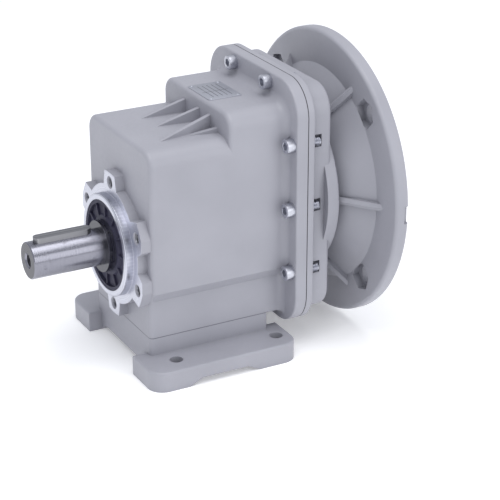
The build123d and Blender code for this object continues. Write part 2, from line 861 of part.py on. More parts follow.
def make_bridge():
    with BuildPart() as bridge:
        with BuildSketch(across(x_bridge)):
            add(block_section(inner_half, rear_inner_top, inner_floor, lower_inset, cavity_corner))
            Circle(output_rear_bearing[1] / 2, mode=Mode.SUBTRACT)
            with Locations((0, second_centres)):
                Circle(lay_bearing[1] / 2 + shaft_gap, mode=Mode.SUBTRACT)
            with Locations(*bridge_screw_spots()):
                Circle(bridge_screw_dia / 2 + 0.3, mode=Mode.SUBTRACT)
        extrude(amount=bridge_thickness)
    save(bridge.part, "bearing_bridge")


def make_bridge_screws():
    places = []
    for y, z in bridge_screw_spots():
        places.append(
            Plane(origin=(x_bridge_end, y, axis_height + z), x_dir=(0, 1, 0), z_dir=(1, 0, 0))
        )
    cap_screws("bridge_screws", places, bridge_screw_dia, bridge_thickness + bridge_screw_bite)


def make_output_shaft():
    seat = output_rear_bearing[0]
    clip = 2 * shaft_clip_depth
    collar = collar_dia
    with BuildPart() as shaft:
        with BuildSketch(along(axis_height)):
            add(turned(
                (
                    (x_tip, x_collar, shaft_dia),
                    (x_collar, x_front_bearing - shaft_clip_thickness, collar),
                    (x_front_bearing - shaft_clip_thickness, x_front_bearing, collar - clip),
                    (x_front_bearing, x_front_bearing_end, collar),
                    (x_front_bearing_end, x_wheel, wheel_seat_dia + 2 * clip_land),
                    (x_wheel, x_wheel_end, wheel_seat_dia),
                    (x_wheel_end, x_wheel_clip_end, wheel_seat_dia - clip),
                    (x_wheel_clip_end, x_wheel_clip_end + clip_land, wheel_seat_dia),
                    (x_wheel_clip_end + clip_land, x_rear_bearing, seat + 2 * bearing_shoulder),
                    (x_rear_bearing, x_bridge_end, seat),
                    (x_bridge_end, x_rear_clip_end, seat - clip),
                    (x_rear_clip_end, x_shaft_end, seat),
                ),
                shaft_chamfer / 1.5 * 0.6,
            ))
        revolve(axis=shaft_axis(axis_height))
        # Outer key seat, inner key seat and centre thread
        with BuildSketch(Plane.XY.offset(axis_height + shaft_dia / 2 - key_depth)):
            with Locations((x_tip + key_setback + key_length / 2, 0)):
                SlotOverall(key_length, key_width)
        extrude(amount=key_height, mode=Mode.SUBTRACT)
        with BuildSketch(Plane.XY.offset(axis_height + wheel_seat_dia / 2 - wheel_key_depth)):
            with Locations(((x_wheel + x_wheel_end) / 2, 0)):
                SlotOverall(second_face - 2, wheel_key_width)
        extrude(amount=wheel_key_height, mode=Mode.SUBTRACT)
        tip = Plane(origin=(x_tip, 0, axis_height), x_dir=(0, -1, 0), z_dir=(-1, 0, 0))
        with Locations(tip):
            CounterSinkHole(centre_thread_dia / 2, centre_sink_dia / 2, centre_depth, 60)
    save(shaft.part, "output_shaft")


def make_output_gear():
    with BuildPart() as gear:
        add(helical_teeth(
            x_wheel,
            second_face,
            axis_height,
            second_wheel_teeth,
            second_pinion_teeth,
            second_centres,
            second_helix,
            math.pi / 2,
            x_wheel,
        ))
        with BuildSketch(across(x_wheel)):
            Circle(wheel_seat_dia / 2)
            top = wheel_seat_dia / 2 + wheel_key_height - wheel_key_depth + hub_key_clearance
            with Locations((0, top / 2)):
                Rectangle(wheel_key_width, top)
        extrude(amount=second_face, mode=Mode.SUBTRACT)
    save(gear.part, "output_gear")


def make_intermediate_shaft():
    sizes = gear_sizes(second_pinion_teeth, second_wheel_teeth, second_centres, second_helix)
    root = 2 * sizes[3]
    journal = lay_bearing[0]
    x_pinion = x_wheel - pinion_overhang
    x_pinion_end = x_wheel_end + pinion_overhang
    clip = 2 * shaft_clip_depth
    with BuildPart() as shaft:
        add(helical_teeth(
            x_pinion,
            x_pinion_end - x_pinion,
            lay_height,
            second_pinion_teeth,
            second_wheel_teeth,
            second_centres,
            -second_helix,
            -math.pi / 2 + math.pi / second_pinion_teeth,
            x_wheel,
        ))
        with BuildSketch(along(lay_height)):
            add(turned(
                (
                    (x_lay_seat + shaft_gap / 2, x_lay_bearing_end, journal),
                    (x_lay_bearing_end, x_pinion, lay_wheel_seat_dia),
                    (x_pinion, x_pinion_end, root - 2),
                    (x_pinion_end, x_lay_wheel, root - 1),
                    (x_lay_wheel, x_lay_wheel_end, lay_wheel_seat_dia),
                    (x_lay_wheel_end, x_lay_wheel_end + shaft_clip_thickness, lay_wheel_seat_dia - clip),
                    (x_lay_wheel_end + shaft_clip_thickness, x_lay_rear, lay_wheel_seat_dia),
                    (x_lay_rear, x_lay_rear_end - shaft_gap / 2, journal),
                ),
                0.5,
            ))
        revolve(axis=shaft_axis(lay_height))
        with BuildSketch(Plane.XY.offset(lay_height + lay_wheel_seat_dia / 2 - lay_key_depth)):
            with Locations(((x_lay_wheel + x_lay_wheel_end) / 2, 0)):
                SlotOverall(first_face - 2, lay_key_width)
        extrude(amount=lay_key_height, mode=Mode.SUBTRACT)
    save(shaft.part, "intermediate_shaft")


def make_intermediate_gear():
    with BuildPart() as gear:
        add(helical_teeth(
            x_lay_wheel,
            first_face,
            lay_height,
            first_wheel_teeth,
            first_pinion_teeth,
            first_centres,
            first_helix,
            -math.pi / 2,
            x_lay_wheel,
        ))
        with BuildSketch(across(x_lay_wheel, lay_height)):
            Circle(lay_wheel_seat_dia / 2)
            top = lay_wheel_seat_dia / 2 + lay_key_height - lay_key_depth + hub_key_clearance
            with Locations((0, top / 2)):
                Rectangle(lay_key_width, top)
        extrude(amount=first_face, mode=Mode.SUBTRACT)
    save(gear.part, "intermediate_gear")


def make_input_shaft():
    seat = input_bearing[0]
    x_pinion = x_lay_wheel - pinion_overhang / 2
    x_pinion_end = x_lay_wheel_end + pinion_overhang / 2
    clip = 2 * shaft_clip_depth
    with BuildPart() as quill:
        with BuildSketch(along(input_height)):
            add(turned(
                (
                    (x_pinion, x_pinion_end, input_pinion_seat_dia),
                    (x_pinion_end, x_quill, input_stub_dia),
                    (x_quill, x_input_bearing, input_shoulder_dia),
                    (x_input_bearing, x_input_clip, seat),
                    (x_input_clip, x_input_clip + shaft_clip_thickness, seat - clip),
                    (x_input_clip + shaft_clip_thickness, x_spigot, seat),
                ),
                0.6,
            ))
        revolve(axis=shaft_axis(input_height))
        with BuildSketch(across(x_spigot, input_height)):
            Circle(input_bore_dia / 2)
            top = input_bore_dia / 2 + input_key_rise
            with Locations((0, top / 2)):
                Rectangle(input_key_width, top)
        extrude(amount=-(input_bore_depth - motor_spigot_depth), mode=Mode.SUBTRACT)
    save(quill.part, "input_shaft")
    with BuildPart() as pinion:
        add(helical_teeth(
            x_pinion,
            x_pinion_end - x_pinion,
            input_height,
            first_pinion_teeth,
            first_wheel_teeth,
            first_centres,
            -first_helix,
            math.pi / 2 + math.pi / first_pinion_teeth,
            x_lay_wheel,
        ))
        with BuildSketch(across(x_pinion, input_height)):
            Circle(input_pinion_seat_dia / 2)
        extrude(amount=x_pinion_end - x_pinion, mode=Mode.SUBTRACT)
    save(pinion.part, "input_pinion")


def make_seal(name, x, height, inner_dia, outer_dia, ribs, side):
    """Rubber lip seal: a stiff rim, a dished face with radial ribs and a lip just off the shaft."""
    inner = inner_dia / 2 + lip_clearance
    outer = outer_dia / 2
    dish = 2.0
    rim = outer - 2.5
    lip = inner + 2.5
    front = x if side < 0 else x + seal_width
    back = x + seal_width if side < 0 else x
    inward = -side
    with BuildPart() as seal:
        with BuildSketch(along(height)):
            with BuildLine():
                Polyline(
                    (back, outer),
                    (front, outer),
                    (front, rim),
                    (front + inward * dish, rim - 0.5),
                    (front + inward * dish, lip + 1),
                    (front + inward * 0.6, lip),
                    (front + inward * 0.6, inner),
                    (back, inner),
                    close=True,
                )
            make_face()
        revolve(axis=shaft_axis(height))
        with BuildSketch(across(front + inward * dish, height)):
            with PolarLocations((lip + rim) / 2, ribs):
                Rectangle(rim - lip, 1.2)
        extrude(amount=side * (dish - 0.5))
    save(seal.part, name)


def make_distance_pieces():
    width = input_bearing_gap
    with BuildPart() as ring:
        with BuildSketch(across(x_input_ring, input_height)):
            Circle(input_bearing[1] / 2)
            Circle(input_bearing[1] / 2 - bearing_shoulder, mode=Mode.SUBTRACT)
        extrude(amount=width)
    save(ring.part, "input_distance_ring")
    with BuildPart() as sleeve:
        with BuildSketch(across(x_input_ring, input_height)):
            Circle(input_bearing[0] / 2 + bearing_shoulder)
            Circle(input_bearing[0] / 2, mode=Mode.SUBTRACT)
        extrude(amount=width)
    save(sleeve.part, "input_distance_sleeve")


def make_clips_and_keys():
    clip = 2 * shaft_clip_depth
    land = 2 * clip_land
    circlip(
        "output_bore_circlip",
        x_bore_clip,
        axis_height,
        output_front_bearing[1] - land,
        output_front_bearing[1] + 2 * bore_clip_depth,
        bore_clip_thickness,
    )
    circlip(
        "input_bore_circlip",
        x_input_clip,
        input_height,
        input_bearing[1] - land,
        input_bearing[1] + 2 * bore_clip_depth,
        bore_clip_thickness,
    )
    for name, x, height, seat in (
        ("output_collar_circlip", x_front_bearing - shaft_clip_thickness, axis_height, collar_dia),
        ("output_gear_circlip", x_wheel_end, axis_height, wheel_seat_dia),
        ("output_rear_circlip", x_bridge_end, axis_height, output_rear_bearing[0]),
        ("intermediate_gear_circlip", x_lay_wheel_end, lay_height, lay_wheel_seat_dia),
        ("input_shaft_circlip", x_input_clip, input_height, input_bearing[0]),
    ):
        circlip(name, x, height, seat - clip, seat + land, shaft_clip_thickness)
    low = axis_height + shaft_dia / 2 - key_depth
    x_middle = x_tip + key_setback + key_length / 2
    parallel_key("output_key", x_middle, key_length, key_width, low, low + key_height)
    low = axis_height + wheel_seat_dia / 2 - wheel_key_depth
    x_middle = (x_wheel + x_wheel_end) / 2
    parallel_key(
        "output_gear_key", x_middle, second_face - 2, wheel_key_width, low, low + wheel_key_height
    )
    low = lay_height + lay_wheel_seat_dia / 2 - lay_key_depth
    x_middle = (x_lay_wheel + x_lay_wheel_end) / 2
    parallel_key(
        "intermediate_gear_key", x_middle, first_face - 2, lay_key_width, low, low + lay_key_height
    )


def make_bearings():
    ball_bearing("output_front_bearing", x_front_bearing, axis_height, output_front_bearing)
    ball_bearing("output_rear_bearing", x_rear_bearing, axis_height, output_rear_bearing)
    ball_bearing("intermediate_front_bearing", x_lay_seat, lay_height, lay_bearing)
    ball_bearing("intermediate_rear_bearing", x_lay_rear, lay_height, lay_bearing)
    ball_bearing("input_front_bearing", x_input_bearing, input_height, input_bearing)
    ball_bearing("input_rear_bearing", x_input_second, input_height, input_bearing)


os.makedirs("parts", exist_ok=True)
make_housing()
make_foot()
make_foot_screws()
make_gasket()
make_cover()
make_cover_screws()
make_bridge()
make_bridge_screws()
make_output_shaft()
make_output_gear()
make_intermediate_shaft()
make_intermediate_gear()
make_input_shaft()
make_seal("output_oil_seal", x_seal, axis_height, collar_dia, output_front_bearing[1], 12, -1)
make_seal("input_oil_seal", x_input_seal, input_height, input_bearing[0], input_bearing[1], 8, 1)
make_distance_pieces()
make_clips_and_keys()
make_bearings()
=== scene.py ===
import math

import bmesh
import bpy
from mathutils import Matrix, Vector


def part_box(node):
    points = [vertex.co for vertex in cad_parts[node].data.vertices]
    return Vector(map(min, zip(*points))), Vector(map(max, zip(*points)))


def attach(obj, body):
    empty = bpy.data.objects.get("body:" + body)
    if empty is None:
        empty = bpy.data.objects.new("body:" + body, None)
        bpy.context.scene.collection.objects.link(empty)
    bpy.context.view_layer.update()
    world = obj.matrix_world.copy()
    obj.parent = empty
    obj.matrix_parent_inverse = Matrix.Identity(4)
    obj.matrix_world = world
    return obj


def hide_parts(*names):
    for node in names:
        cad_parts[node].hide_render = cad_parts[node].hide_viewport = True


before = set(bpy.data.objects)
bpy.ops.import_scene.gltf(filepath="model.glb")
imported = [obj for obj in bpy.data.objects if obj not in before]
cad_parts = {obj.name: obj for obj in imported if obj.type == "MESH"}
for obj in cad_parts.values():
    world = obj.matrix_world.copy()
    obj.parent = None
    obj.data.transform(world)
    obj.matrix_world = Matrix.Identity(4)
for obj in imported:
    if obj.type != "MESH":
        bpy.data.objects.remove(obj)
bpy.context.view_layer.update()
print("frame loaded")

mm = 0.001  # sizes whose names end in Mm are millimetres, and the scene is in metres
noiseLow, noiseHigh = 0.3, 0.7  # most of a noise texture's values lie between these
axisHeights = {"output": 80.0, "intermediate": 134.0, "input": 104.0}  # in millimetres


def linearColour(hexText):
    # sRGB hex text to a linear RGBA colour
    parts = [int(hexText[i:i + 2], 16) / 255 for i in (1, 3, 5)]
    return tuple(p / 12.92 if p <= 0.04045 else ((p + 0.055) / 1.055) ** 2.4 for p in parts) + (1.0,)


def setInputs(tree, node, values):
    # Each value is a constant, a socket, or a node whose first live output is linked
    for key, value in values.items():
        socket = node.inputs[key] if isinstance(key, int) else None
        if socket is None:
            socket = next(s for s in node.inputs if s.enabled and s.name == key)
        if isinstance(value, bpy.types.Node):
            value = next(s for s in value.outputs if s.enabled)
        if isinstance(value, bpy.types.NodeSocket):
            tree.links.new(value, socket)
        else:
            socket.default_value = value


def addNode(tree, kind, values=None, **settings):
    node = tree.nodes.new(kind)
    for key, value in settings.items():
        setattr(node, key, value)
    setInputs(tree, node, values or {})
    return node


def newMaterial(name):
    material = bpy.data.materials.new(name)
    material.use_nodes = True
    tree = material.node_tree
    tree.nodes.clear()
    shader = addNode(tree, "ShaderNodeBsdfPrincipled")
    addNode(tree, "ShaderNodeOutputMaterial", {"Surface": shader})
    return material, tree, shader


def setLook(nodeNames, material):
    for name in nodeNames:
        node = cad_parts[name]
        if not node.material_slots:
            node.data.materials.append(material)
        for slot in node.material_slots:
            slot.material = material


def distanceFromAxis(tree, place, heightMm):
    # Distance from a shaft's axis, for marks that run round it
    offset = addNode(
        tree, "ShaderNodeVectorMath", {0: place, 1: (0.0, 0.0, heightMm * mm)}, operation="SUBTRACT"
    )
    across = addNode(tree, "ShaderNodeVectorMath", {0: offset, 1: (0.0, 1.0, 1.0)}, operation="MULTIPLY")
    return addNode(tree, "ShaderNodeVectorMath", {0: across}, operation="LENGTH")


# Castings: satin grey paint over die-cast aluminium, with faces left bare where they are machined.
# The paint gives soft wide highlights and a faint peel, the bare faces show fine bright rings.
castingLook = {
    "paintLight": "#A8A8B0",
    "paintDark": "#A0A0A8",
    "cloudMm": 45.45,  # slow change of tone over the paint
    "paintRoughness": (0.42, 0.54),
    "speckleMm": 2.381,
    "peelMm": 1.111,
    "peelDepthMm": 0.03,
    "peelStrength": 0.35,
    "coatWeight": 0.12,
    "coatRoughness": 0.3,
    "shadeTone": "#5E5F69",  # colour of the painted shade in corners and along the seam line
    "cornerReachMm": 6.0,
    "cornerStrength": 0.3,
    "seamWidthMm": 0.7,
    "seamStrength": 0.6,
    "seamEndMm": 37.6,  # how far along X the line under the housing reaches
    "edgeRadiusMm": 0.7,
    "bareLight": "#E2E3EC",
    "bareDark": "#A8AAB6",
    "bareRoughness": (0.24, 0.42),
    "turningLinesPerMm": 2.6,  # a tool feed of 0.38 mm, coarser than real so that it shows
    "turningStrength": 0.12,
    "outputFaceMm": -56.95,  # where each machined face begins, just inside it
    "motorFaceMm": 111.45,
    "footFaceMm": 0.05,
    "bridgeFacesMm": (11.55, 25.45),
}
# The cover's painted shade reaches further and is darker, to darken its bell as if it lay in shadow
coverLook = dict(castingLook, cornerReachMm=24.0, cornerStrength=0.55)
bridgeLook = dict(castingLook, paintLight="#A9AAAE", paintDark="#97989C")
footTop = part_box("foot_base")[1][2]


def castingMaterial(name, look, axisHeightMm, bareFaces, seamed=False):
    # bareFaces lists the axis letter, comparison and limit in millimetres of the unpainted faces
    material, tree, shader = newMaterial(name)
    place = addNode(tree, "ShaderNodeTexCoord").outputs["Object"]
    split = addNode(tree, "ShaderNodeSeparateXYZ", {0: place})
    tests = []
    for letter, comparison, limit in bareFaces:
        tests.append(addNode(
            tree, "ShaderNodeMath", {0: split.outputs[letter], 1: limit * mm}, operation=comparison
        ))
    isBare = tests[0]
    for test in tests[1:]:
        isBare = addNode(tree, "ShaderNodeMath", {0: isBare, 1: test}, operation="MAXIMUM")
    cloud = addNode(
        tree, "ShaderNodeTexNoise", {"Vector": place, "Scale": 1 / (look["cloudMm"] * mm), "Detail": 4.0}
    )
    cloudShare = addNode(
        tree, "ShaderNodeMapRange", {"Value": cloud, "From Min": noiseLow, "From Max": noiseHigh}
    )
    paint = addNode(
        tree, "ShaderNodeMix",
        {
            "Factor": cloudShare,
            "A": linearColour(look["paintDark"]),
            "B": linearColour(look["paintLight"]),
        },
        data_type="RGBA",
    )
    # Painted shade: the paint darkens towards the shade tone in corners and recesses, within the
    # occlusion's reach
    openness = addNode(
        tree, "ShaderNodeAmbientOcclusion", {"Distance": look["cornerReachMm"] * mm}, samples=8
    ).outputs["AO"]
    paintedShade = addNode(
        tree, "ShaderNodeMapRange", {"Value": openness, "To Min": look["cornerStrength"], "To Max": 0.0}
    )
    paint = addNode(
        tree, "ShaderNodeMix", {"Factor": paintedShade, "A": paint, "B": linearColour(look["shadeTone"])},
        data_type="RGBA",
    )
    if seamed:
        # Painted shade: a dark line where the housing sits on the foot
        atSeam = addNode(
            tree, "ShaderNodeMath",
            {0: split.outputs["Z"], 1: footTop, 2: look["seamWidthMm"] / 2 * mm}, operation="COMPARE",
        )
        inReach = addNode(
            tree, "ShaderNodeMath", {0: split.outputs["X"], 1: look["seamEndMm"] * mm},
            operation="LESS_THAN",
        )
        seam = addNode(tree, "ShaderNodeMath", {0: atSeam, 1: inReach}, operation="MULTIPLY")
        seamShare = addNode(
            tree, "ShaderNodeMath", {0: seam, 1: look["seamStrength"]}, operation="MULTIPLY"
        )
        paint = addNode(
            tree, "ShaderNodeMix", {"Factor": seamShare, "A": paint, "B": linearColour(look["shadeTone"])},
            data_type="RGBA",
        )
    speckle = addNode(
        tree, "ShaderNodeTexNoise", {"Vector": place, "Scale": 1 / (look["speckleMm"] * mm), "Detail": 2.0}
    )
    paintLow, paintHigh = look["paintRoughness"]
    paintRough = addNode(
        tree, "ShaderNodeMapRange",
        {
            "Value": speckle, "From Min": noiseLow, "From Max": noiseHigh,
            "To Min": paintLow, "To Max": paintHigh,
        },
    )
    turning = addNode(
        tree, "ShaderNodeTexNoise",
        {
            "W": distanceFromAxis(tree, place, axisHeightMm),
            "Scale": look["turningLinesPerMm"] / mm,
            "Detail": 3.0,
        },
        noise_dimensions="1D",
    )
    turningShare = addNode(
        tree, "ShaderNodeMapRange", {"Value": turning, "From Min": noiseLow, "From Max": noiseHigh}
    )
    bare = addNode(
        tree, "ShaderNodeMix",
        {
            "Factor": turningShare,
            "A": linearColour(look["bareDark"]),
            "B": linearColour(look["bareLight"]),
        },
        data_type="RGBA",
    )
    bareLow, bareHigh = look["bareRoughness"]
    bareRough = addNode(
        tree, "ShaderNodeMapRange",
        {
            "Value": turning, "From Min": noiseLow, "From Max": noiseHigh,
            "To Min": bareLow, "To Max": bareHigh,
        },
    )
    peel = addNode(
        tree, "ShaderNodeTexNoise", {"Vector": place, "Scale": 1 / (look["peelMm"] * mm), "Detail": 2.0}
    )
    rounded = addNode(tree, "ShaderNodeBevel", {"Radius": look["edgeRadiusMm"] * mm}, samples=6)
    relief = addNode(
        tree, "ShaderNodeBump",
        {
            "Strength": addNode(
                tree, "ShaderNodeMix",
                {"Factor": isBare, "A": look["peelStrength"], "B": look["turningStrength"]},
            ),
            "Distance": look["peelDepthMm"] * mm,
            "Height": addNode(tree, "ShaderNodeMix", {"Factor": isBare, "A": peel, "B": turning}),
            "Normal": rounded,
        },
    )
    setInputs(tree, shader, {
        "Base Color": addNode(
            tree, "ShaderNodeMix", {"Factor": isBare, "A": paint, "B": bare}, data_type="RGBA"
        ),
        "Metallic": isBare,
        "Roughness": addNode(tree, "ShaderNodeMix", {"Factor": isBare, "A": paintRough, "B": bareRough}),
        "Normal": relief,
        "Coat Weight": look["coatWeight"],
        "Coat Roughness": look["coatRoughness"],
    })
    return material


setLook(["housing"], castingMaterial(
    "painted cast aluminium, faced output end", castingLook, axisHeights["output"],
    [("X", "LESS_THAN", castingLook["outputFaceMm"])], seamed=True,
))
setLook(["input_cover"], castingMaterial(
    "painted cast aluminium, faced motor end", coverLook, axisHeights["input"],
    [("X", "GREATER_THAN", castingLook["motorFaceMm"])],
))
setLook(["foot_base"], castingMaterial(
    "painted cast aluminium, milled foot pads", castingLook, axisHeights["output"],
    [("Z", "LESS_THAN", castingLook["footFaceMm"])], seamed=True,
))
bridgeFront, bridgeBack = castingLook["bridgeFacesMm"]
setLook(["bearing_bridge"], castingMaterial(
    "bare cast aluminium", bridgeLook, axisHeights["output"],
    [("X", "GREATER_THAN", bridgeBack), ("X", "LESS_THAN", bridgeFront)],
))
print("castings dressed")


# Ground shaft steel: fine lines round the axis that stretch the highlights, and handling marks
shaftLook = {
    "light": "#A9A9B3",
    "dark": "#75757E",
    "stain": "#54525A",
    "faced": "#3A3A3F",  # end faces, cut across the bar, darkened as painted shade for their dark reflection
    "facedShare": 0.9,
    "facedSlope": 0.95,  # how squarely an end face looks along the shaft
    "roughness": (0.14, 0.3),
    "linesPerMm": 5.2,  # lines 0.19 mm apart, coarser than real grinding so that they show
    "lineDepthMm": 0.004,
    "lineStrength": 0.25,
    "stainMm": 8.333,
    "stainOnset": (0.6, 0.74),
    "stainShare": 0.45,
    "stainRoughness": 0.14,
}
# Hobbed gear steel: duller and warmer, from hardening
gearLook = dict(shaftLook, light="#B5B2AE", dark="#8C8A88", roughness=(0.28, 0.42))
# Ground bearing steel: near mirror bright
bearingLook = dict(
    shaftLook, light="#E2E3E6", dark="#C9CACE", faced="#B4B5BA", roughness=(0.1, 0.2), linesPerMm=9.0
)
# Spring steel of the clips: blackened in oil, so dark with brown traces
springLook = dict(
    shaftLook, light="#4A4A4E", dark="#2C2C30", stain="#5E564C", faced="#3A3A3E", roughness=(0.35, 0.5)
)
# Drawn key steel: dull, with coarse lines from the die along its length
keyLook = dict(
    shaftLook, light="#AEAEB0", dark="#66666C", faced="#808084", roughness=(0.28, 0.42), linesPerMm=1.0
)
# Zinc plating: bright and slightly cloudy, with small yellowish spots
zincLook = dict(
    shaftLook, light="#DCDDE4", dark="#B4B6C0", stain="#A39C8C", faced="#C4C6CE",
    roughness=(0.26, 0.42), stainMm=2.5,
)
# Tapped holes: aluminium cut bright, steel darkened as painted shade deep in the hole
tappedAluminiumLook = dict(
    shaftLook, light="#A6A7AD", dark="#8B8C92", faced="#96979D", roughness=(0.3, 0.45)
)
shadedHoleSteelLook = dict(shaftLook, light="#57575D", dark="#3A3A3F", roughness=(0.35, 0.5))


def turnedSteel(name, look, letter, axisHeightMm):
    # letter is the axis that the fine lines are counted along; end faces get rings and their own tone
    material, tree, shader = newMaterial(name)
    place = addNode(tree, "ShaderNodeTexCoord").outputs["Object"]
    split = addNode(tree, "ShaderNodeSeparateXYZ", {0: place})
    normal = addNode(tree, "ShaderNodeNewGeometry").outputs["Normal"]
    facing = addNode(tree, "ShaderNodeSeparateXYZ", {0: normal})
    squareness = addNode(tree, "ShaderNodeMath", {0: facing.outputs["X"]}, operation="ABSOLUTE")
    onEnd = addNode(
        tree, "ShaderNodeMath", {0: squareness, 1: look["facedSlope"]}, operation="GREATER_THAN"
    )
    radius = distanceFromAxis(tree, place, axisHeightMm)
    count = addNode(tree, "ShaderNodeMix", {"Factor": onEnd, "A": split.outputs[letter], "B": radius})
    lines = addNode(
        tree, "ShaderNodeTexNoise", {"W": count, "Scale": look["linesPerMm"] / mm, "Detail": 4.0},
        noise_dimensions="1D",
    )
    lineShare = addNode(
        tree, "ShaderNodeMapRange", {"Value": lines, "From Min": noiseLow, "From Max": noiseHigh}
    )
    base = addNode(
        tree, "ShaderNodeMix",
        {"Factor": lineShare, "A": linearColour(look["dark"]), "B": linearColour(look["light"])},
        data_type="RGBA",
    )
    # End faces take the look's end tone; the dark end tone of shaft and gear steel is painted shade, a dark
    # reflection on faces turned along the shaft
    facedShare = addNode(tree, "ShaderNodeMath", {0: onEnd, 1: look["facedShare"]}, operation="MULTIPLY")
    base = addNode(
        tree, "ShaderNodeMix", {"Factor": facedShare, "A": base, "B": linearColour(look["faced"])},
        data_type="RGBA",
    )
    patches = addNode(
        tree, "ShaderNodeTexNoise",
        {"Vector": place, "Scale": 1 / (look["stainMm"] * mm), "Detail": 5.0, "Roughness": 0.6},
    )
    onset, full = look["stainOnset"]
    marks = addNode(tree, "ShaderNodeMapRange", {"Value": patches, "From Min": onset, "From Max": full})
    stainShare = addNode(tree, "ShaderNodeMath", {0: marks, 1: look["stainShare"]}, operation="MULTIPLY")
    roughLow, roughHigh = look["roughness"]
    lineRough = addNode(
        tree, "ShaderNodeMapRange",
        {
            "Value": lines, "From Min": noiseLow, "From Max": noiseHigh,
            "To Min": roughLow, "To Max": roughHigh,
        },
    )
    setInputs(tree, shader, {
        "Base Color": addNode(
            tree, "ShaderNodeMix", {"Factor": stainShare, "A": base, "B": linearColour(look["stain"])},
            data_type="RGBA",
        ),
        "Roughness": addNode(
            tree, "ShaderNodeMath", {0: marks, 1: look["stainRoughness"], 2: lineRough},
            operation="MULTIPLY_ADD",
        ),
        "Normal": addNode(
            tree, "ShaderNodeBump",
            {"Strength": look["lineStrength"], "Distance": look["lineDepthMm"] * mm, "Height": lines},
        ),
        "Metallic": 1.0,
    })
    return material


def nodesOf(shaft, *words):
    # The nodes on one shaft whose names hold one of these words
    return [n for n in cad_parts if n.startswith(shaft + "_") and any(word in n for word in words)]


for shaft, height in axisHeights.items():
    for words, finish, look, letter in (
        (("_shaft", "distance"), "ground shaft steel", shaftLook, "X"),
        (("gear", "pinion"), "hobbed and hardened gear steel", gearLook, "X"),
        (("_bearing_",), "ground bearing steel", bearingLook, "X"),
        (("circlip",), "blackened spring steel", springLook, "Y"),
        (("_key",), "drawn key steel", keyLook, "Y"),
    ):
        names = nodesOf(shaft, *words)
        if shaft == "intermediate" and "pinion" in words:
            names.append("intermediate_shaft")  # its pinion is cut into the shaft
        setLook(names, turnedSteel(f"{finish}, {shaft}", look, letter, height))
zincMaterial = turnedSteel("zinc-plated screw steel", zincLook, "X", axisHeights["output"])
setLook(["foot_screws", "bridge_screws", "cover_screws"], zincMaterial)
print("steel dressed")


# Moulded rubber: matt and bluish black with a fine grain, so that it hardly mirrors anything
rubberLook = {
    "dark": "#25243A",
    "light": "#33324A",
    "roughness": (0.55, 0.72),
    "grainMm": 0.6667,
    "grainDepthMm": 0.02,
    "grainStrength": 0.4,
    "bloomMm": 11.11,
}
# Gasket sheet: black fibre board, seen only as a thin line
gasketLook = dict(rubberLook, dark="#0C0C10", light="#16161A")


def mouldedRubber(name, look):
    material, tree, shader = newMaterial(name)
    place = addNode(tree, "ShaderNodeTexCoord").outputs["Object"]
    grain = addNode(
        tree, "ShaderNodeTexNoise", {"Vector": place, "Scale": 1 / (look["grainMm"] * mm), "Detail": 3.0}
    )
    bloom = addNode(
        tree, "ShaderNodeTexNoise", {"Vector": place, "Scale": 1 / (look["bloomMm"] * mm), "Detail": 4.0}
    )
    bloomShare = addNode(
        tree, "ShaderNodeMapRange", {"Value": bloom, "From Min": noiseLow, "From Max": noiseHigh}
    )
    roughLow, roughHigh = look["roughness"]
    setInputs(tree, shader, {
        "Base Color": addNode(
            tree, "ShaderNodeMix",
            {"Factor": bloomShare, "A": linearColour(look["dark"]), "B": linearColour(look["light"])},
            data_type="RGBA",
        ),
        "Roughness": addNode(
            tree, "ShaderNodeMapRange",
            {
                "Value": grain, "From Min": noiseLow, "From Max": noiseHigh,
                "To Min": roughLow, "To Max": roughHigh,
            },
        ),
        "Normal": addNode(
            tree, "ShaderNodeBump",
            {"Strength": look["grainStrength"], "Distance": look["grainDepthMm"] * mm, "Height": grain},
        ),
    })
    return material


setLook(["output_oil_seal", "input_oil_seal"], mouldedRubber("nitrile seal rubber", rubberLook))
setLook(["joint_gasket"], mouldedRubber("gasket sheet", gasketLook))
print("rubber dressed")


# Cover screws: knurled socket heads and threaded tips, one mesh placed ten times
screwLook = {
    "threadRadiusMm": 3.0,
    "threadWaveMm": 0.3,
    "pitchMm": 1.0,
    "stepsPerTurn": 6,
    "lengthMm": 20.0,
    "threadedTipMm": 9.0,
    "tipMm": 0.5,
    "tipRadiiMm": (2.65, 2.1),
    "tipSteps": 4,  # steps of the thread that the chamfered tip takes up
    "headRadiusMm": 4.95,
    "headHeightMm": 6.0,
    "edgeMm": 0.5,
    "edgeFoldMm": (0.2, 0.125),  # where the rounded edge bends, in and down from its corner
    "knurlDepthMm": 0.16,
    "knurlEndsMm": (0.8, 0.6),  # last full groove and its run-out, above the seat
    "seatLiftMm": 0.02,  # the head stops short of the casting by this much
    "socketAcrossMm": 4.98,
    "socketDepthMm": 3.0,
    "socketTaper": 0.97,
    "socketFlare": 1.08,
    "socketChamferMm": 0.25,
    "socketRimMm": 0.3,
    "drillPointMm": (1.0, 0.05),  # depth below the socket and radius of its tip
    "pointsRound": 48,
    "smoothDeg": 32,
    "seed": 7,
}


def ringMesh(name, rings, count, tube=False):
    # Skin over rings given as (x, radius by angle) in millimetres; a tube closes on itself
    mesh = bmesh.new()
    loops = []
    for x, radiusAt in rings:
        loop = []
        for step in range(count):
            angle = 2 * math.pi * step / count
            radius = radiusAt(angle) * mm
            loop.append(mesh.verts.new((x * mm, radius * math.cos(angle), radius * math.sin(angle))))
        loops.append(loop)
    following = loops[1:] + (loops[:1] if tube else [])
    for first, second in zip(loops, following):
        for step in range(count):
            after = (step + 1) % count
            mesh.faces.new((first[step], first[after], second[after], second[step]))
    if not tube:
        mesh.faces.new(loops[0][::-1])
        mesh.faces.new(loops[-1])
    bmesh.ops.recalc_face_normals(mesh, faces=mesh.faces)
    data = bpy.data.meshes.new(name)
    mesh.to_mesh(data)
    mesh.free()
    return data


